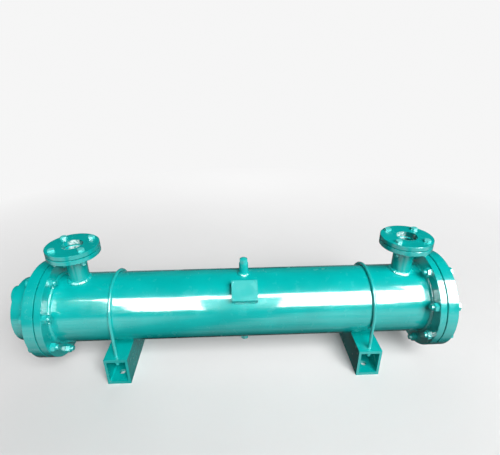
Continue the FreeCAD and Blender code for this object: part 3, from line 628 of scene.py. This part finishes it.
# Radius and pitch of the M16, M12 and M10 ends.
COVER_THREAD = (0.008, 0.002)
NOZZLE_THREAD = (0.006, 0.00175)
STRAP_THREAD = (0.005, 0.0015)
# The G 1/2 plugs: half the flats, radius of the dome, radii under the head and of the thread.
PLUG_FLATS = 0.012
PLUG_CROWN = 0.0192
PLUG_NECK = 0.0094
PLUG_ROOT = 0.0088
PLUG_CREST = 0.00988
PLUG_PITCH = 0.001814
PLUG_RINGS = 14
PLUG_SEGMENTS = 72


def thread_points(origin, direction, root, crest, length, pitch):
    """A helical V thread round an axis: rows across the axis, radius rising and falling."""
    side = direction.orthogonal().normalized()
    across = direction.cross(side)
    rows = max(PITCH_ROWS, round(length / pitch * PITCH_ROWS))
    points = []
    for row in range(rows + 1):
        along = length * row / rows
        ends = min(1.0, along / pitch, (length - along) / pitch)
        for column in range(TURN_POINTS):
            share = column / TURN_POINTS
            phase = (along / pitch - share) % 1.0
            height = 1 - abs(2 * phase - 1)
            radius = root + (crest - root) * height * max(0.0, ends)
            turn = 2 * math.pi * share
            spoke = math.cos(turn) * side + math.sin(turn) * across
            points.append(origin + along * direction + radius * spoke)
    return points, grid_faces(rows + 1, TURN_POINTS)


def thread_piece(name, starts, direction, root, length, pitch):
    """Threads standing on the plain ends of several bolts."""
    points = []
    faces = []
    for start in starts:
        part, quads = thread_points(start, direction, root, root + THREAD_HEIGHT, length, pitch)
        faces += [tuple(i + len(points) for i in face) for face in quads]
        points += part
    return mesh_piece(name, points, faces, "fastener_enamel")


def piece_centres(node, count):
    """The centre of each separate piece of a node, found by which vertices edges join."""
    mesh = frame["nodes"][node].data
    parent = list(range(len(mesh.vertices)))

    def root_of(i):
        while parent[i] != i:
            parent[i] = parent[parent[i]]
            i = parent[i]
        return i

    where = {}
    for vertex in mesh.vertices:
        key = tuple(round(c, 5) for c in vertex.co)
        other = where.setdefault(key, vertex.index)
        parent[root_of(vertex.index)] = root_of(other)
    for edge in mesh.edges:
        parent[root_of(edge.vertices[0])] = root_of(edge.vertices[1])
    groups = {}
    for vertex in mesh.vertices:
        groups.setdefault(root_of(vertex.index), []).append(vertex.co.copy())
    centres = []
    for members in groups.values():
        low = Vector(min(c[i] for c in members) for i in range(3))
        high = Vector(max(c[i] for c in members) for i in range(3))
        centres.append((low + high) / 2)
    if len(centres) != count:
        raise RuntimeError(f"{node} has {len(centres)} pieces, not {count}")
    return centres


def make_bolt_threads():
    """Threads on the ends that stand beyond the nuts."""
    for side, way in (("left", -1), ("right", 1)):
        nut_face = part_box(f"cover_nuts_{side}")[0 if way > 0 else 1].x
        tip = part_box(f"cover_bolts_{side}")[0 if way > 0 else 1].x
        starts = [Vector((nut_face, c.y, c.z)) for c in piece_centres(f"cover_nuts_{side}", 8)]
        length = abs(tip - nut_face) - THREAD_STOP
        inward = Vector((-way, 0, 0))
        radius, pitch = COVER_THREAD
        thread_piece(f"cover_bolt_threads_{side}", starts, inward, radius, length, pitch)
        nut_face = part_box(f"nozzle_nuts_{side}")[0].z
        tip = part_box(f"nozzle_bolts_{side}")[0].z
        starts = [Vector((c.x, c.y, nut_face)) for c in piece_centres(f"nozzle_nuts_{side}", 4)]
        radius, pitch = NOZZLE_THREAD
        length = nut_face - tip - THREAD_STOP
        thread_piece(f"nozzle_bolt_threads_{side}", starts, -UP, radius, length, pitch)
    nut_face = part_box("u_bolt_nuts")[0].z
    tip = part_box("u_bolt_left")[0].z
    starts = [Vector((c.x, c.y, nut_face)) for c in piece_centres("u_bolt_nuts", 4)]
    radius, pitch = STRAP_THREAD
    thread_piece("u_bolt_threads", starts, -UP, radius, nut_face - tip - THREAD_STOP, pitch)


def plug_head(head):
    """A domed hexagon over z = 0, closed down to the top of the thread."""
    points = []
    for ring in range(PLUG_RINGS + 1):
        for number in range(PLUG_SEGMENTS):
            turn = 2 * math.pi * number / PLUG_SEGMENTS
            corner = (turn + math.pi / 6) % (math.pi / 3) - math.pi / 6
            reach = PLUG_FLATS / math.cos(corner)
            radius = max(reach * ring / PLUG_RINGS, 1e-5)
            drop = PLUG_CROWN - math.sqrt(max(PLUG_CROWN**2 - radius**2, 0.0))
            points.append(Vector((radius * math.cos(turn), radius * math.sin(turn), head - drop)))
    rim = points[-PLUG_SEGMENTS:]
    points += [Vector((edge.x, edge.y, 0.0)) for edge in rim]
    for number in range(PLUG_SEGMENTS):
        turn = 2 * math.pi * number / PLUG_SEGMENTS
        points.append(Vector((PLUG_NECK * math.cos(turn), PLUG_NECK * math.sin(turn), 0.0)))
    faces = grid_faces(PLUG_RINGS + 3, PLUG_SEGMENTS)
    faces.append(tuple(range(PLUG_SEGMENTS)))
    return points, faces


def plug_mesh(face, way, low, high, centre):
    """A plug with a domed hexagon head and a real thread, upright (way 1) or hanging."""
    head, shank = (high.z - face, face - low.z) if way > 0 else (face - low.z, high.z - face)
    points, faces = plug_head(head)
    thread, quads = thread_points(Vector(), -UP, PLUG_ROOT, PLUG_CREST, shank, PLUG_PITCH)
    faces += [tuple(i + len(points) for i in quad) for quad in quads]
    last = len(points) + len(thread) - TURN_POINTS
    faces.append(tuple(range(last, last + TURN_POINTS)))
    points += thread
    turn = Matrix.Identity(3) if way > 0 else Matrix.Rotation(math.pi, 3, "X")
    return [turn @ p + Vector((centre.x, centre.y, face)) for p in points], faces


def make_plugs():
    """The vent and drain plugs, shown with real threads in place of the plain shanks."""
    for name, way in (("vent", 1), ("drain", -1)):
        low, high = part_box(f"{name}_plug")
        washer_low, washer_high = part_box(f"{name}_washer")
        face = washer_high.z if way > 0 else washer_low.z
        points, faces = plug_mesh(face, way, low, high, (low + high) / 2)
        plug = mesh_piece(f"{name}_plug_threaded", points, faces, "fastener_enamel", f"{name}_screw")
        bevel = plug.modifiers.new("soft_edges", "BEVEL")
        bevel.width = 0.0004
        bevel.segments = 2
        bevel.limit_method = "ANGLE"
        bevel.angle_limit = math.radians(40)
        split_by_angle(plug)
        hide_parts(f"{name}_plug")


def split_by_angle(piece, degrees=38):
    """Keep hard corners crisp on a smooth-shaded piece."""
    piece.data.set_sharp_from_angle(angle=math.radians(degrees))


# ---- studio --------------------------------------------------------------------------------


def make_camera():
    """In front of the shell and above it, a little left of the middle, looking down."""
    data = bpy.data.cameras.new("camera")
    data.sensor_width = 36
    data.lens = 25.654
    data.shift_x = 0.01
    data.shift_y = -0.0114
    camera = bpy.data.objects.new("camera", data)
    heading = Matrix.Rotation(math.radians(-1.707), 4, "Z")
    tilt = Matrix.Rotation(math.radians(90 - 24.139), 4, "X")
    roll = Matrix.Rotation(math.radians(-0.682), 4, "Z")
    place = Matrix.Translation((-0.0177, -0.9675, AXIS + 0.7211))
    camera.matrix_world = place @ heading @ tilt @ roll
    bpy.context.scene.collection.objects.link(camera)
    bpy.context.scene.camera = camera


def softbox(name, across, rise, radiance, tilt=46, distance=3.0, side=-1, seen_in="gloss"):
    """A rectangular softbox on a tilted plane that faces the shell from the front or the back.

    across and rise are the plane's own spans in metres, along X and up its slope. It either
    shows in the gloss or gives the soft matte light, so that each can have its own strength."""
    data = bpy.data.lights.new(name, "AREA")
    data.shape = "RECTANGLE"
    data.size = across[1] - across[0]
    data.size_y = rise[1] - rise[0]
    data.energy = radiance * math.pi * data.size * data.size_y
    lamp = bpy.data.objects.new(name, data)
    angle = math.radians(tilt)
    towards = Vector((0, side * math.cos(angle), math.sin(angle)))
    slope = Vector((0, -side * math.sin(angle), math.cos(angle)))
    middle = Vector((sum(across) / 2, 0, 0)) + slope * sum(rise) / 2
    place = Vector((0, 0, AXIS)) + distance * towards + middle
    right = slope.cross(towards)
    turn = Matrix((right, slope, towards)).transposed()
    lamp.matrix_world = Matrix.Translation(place) @ turn.to_4x4()
    lamp.visible_camera = False
    lamp.visible_diffuse = seen_in == "matte"
    lamp.visible_glossy = seen_in == "gloss"
    bpy.context.scene.collection.objects.link(lamp)


def make_lights():
    """A bank of softboxes in front for the gloss, stepped at its edges as a row of windows is,
    and one large soft light in front and one behind for the matte colour."""
    gloss = 30.0
    softbox("gloss_left_streak", (-1.84, -1.6), (0.38, 0.46), gloss)
    softbox("gloss_left_top", (-1.6, -0.42), (0.25, 0.50), gloss)
    softbox("gloss_left_upper", (-1.44, -0.42), (-0.05, 0.25), gloss)
    softbox("gloss_left_lower", (-1.38, -0.42), (-0.6, -0.05), gloss)
    softbox("gloss_left_foot", (-1.28, -0.42), (-1.9, -0.6), gloss)
    softbox("gloss_middle", (-0.42, 0.48), (0.02, 0.50), gloss)
    softbox("gloss_right", (0.48, 1.9), (-1.8, 0.58), gloss)
    softbox("gloss_far_right", (1.9, 3.0), (-1.6, 1.35), gloss)
    softbox("matte_front", (0.4, 4.4), (-1.8, 1.8), 17.0, tilt=43, distance=6.0, seen_in="matte")
    softbox("matte_back", (-1.5, 1.5), (-0.8, 0.8), 4.0, tilt=20, side=1, seen_in="matte")


def make_world():
    """The pale backdrop to the camera, a low even fill for matte light, and for the gloss a dark
    room whose floor has two pale patches with a dark gap between them."""
    world = bpy.data.worlds.new("studio")
    world.use_nodes = True
    graph = Graph(world.node_tree)
    graph.tree.nodes.clear()

    def shade(colour):
        node = graph.add("ShaderNodeBackground")
        graph.put(colour, node.inputs["Color"])
        return node.outputs["Background"]

    def product(*values):
        result = values[0]
        for value in values[1:]:
            result = graph.math("MULTIPLY", result, value)
        return result

    direction = graph.add("ShaderNodeTexCoord").outputs["Generated"]
    parts = graph.split(direction)
    cloud = graph.noise_at(direction, 1.6, detail=3, stretch=(2.5, 6, 9))
    slant = graph.math("SUBTRACT", parts["X"], product(parts["Z"], 0.35))
    wavy = graph.math("ADD", slant, product(cloud, 0.25))
    spread = graph.math("ADD", product(wavy, 0.5), 0.4375)
    patches = graph.ramp(spread, (0.43, 1.0), (0.50, 0.12), (0.58, 0.12), (0.63, 1.0))
    mottle = graph.ramp(cloud, (0.35, 0.45), (0.65, 1.0))
    drop = product(parts["Z"], -1.0)
    below = graph.ramp(drop, (0.0, 0.1), (0.15, 1.0), (0.55, 0.8), (0.9, 0.25))
    above = graph.ramp(parts["Z"], (0.0, 0.08), (0.3, 0.01))
    front = graph.ramp(product(parts["Y"], -1.0), (0.0, 0.12), (0.25, 1.0))
    brightness = 2.1
    ground = product(patches, mottle, below, front, brightness)
    downwards = graph.math("LESS_THAN", parts["Z"], 0.0)
    gloss = graph.mix_shaders(downwards, shade(above), shade(ground))
    path = graph.add("ShaderNodeLightPath")
    fill = shade((0.05, 0.05, 0.05, 1))
    backdrop = shade((BACKDROP, BACKDROP, BACKDROP, 1))
    unseen = graph.mix_shaders(path.outputs["Is Glossy Ray"], fill, gloss)
    seen = graph.mix_shaders(path.outputs["Is Camera Ray"], unseen, backdrop)
    output = graph.add("ShaderNodeOutputWorld")
    graph.link(seen, output.inputs["Surface"])
    bpy.context.scene.world = world


def make_floor():
    size = 30.0
    mesh = bpy.data.meshes.new("studio_floor")
    corners = [(-size, -size, 0), (size, -size, 0), (size, size, 0), (-size, size, 0)]
    mesh.from_pydata(corners, [], [(0, 1, 2, 3)])
    mesh.materials.append(pale_floor("pale_floor"))
    floor = bpy.data.objects.new("studio_floor", mesh)
    floor.visible_glossy = False
    floor.visible_diffuse = False
    bpy.context.scene.collection.objects.link(floor)


# ---- the whole scene -----------------------------------------------------------------------

bpy.context.scene.view_settings.view_transform = "Standard"
make_camera()
make_lights()
make_world()
make_floor()
dress_cad_nodes()
make_flange_welds()
make_nozzle_welds()
make_boss_welds()
make_port_welds()
make_saddle_welds()
make_bracket_welds()
make_bolt_threads()
make_plugs()
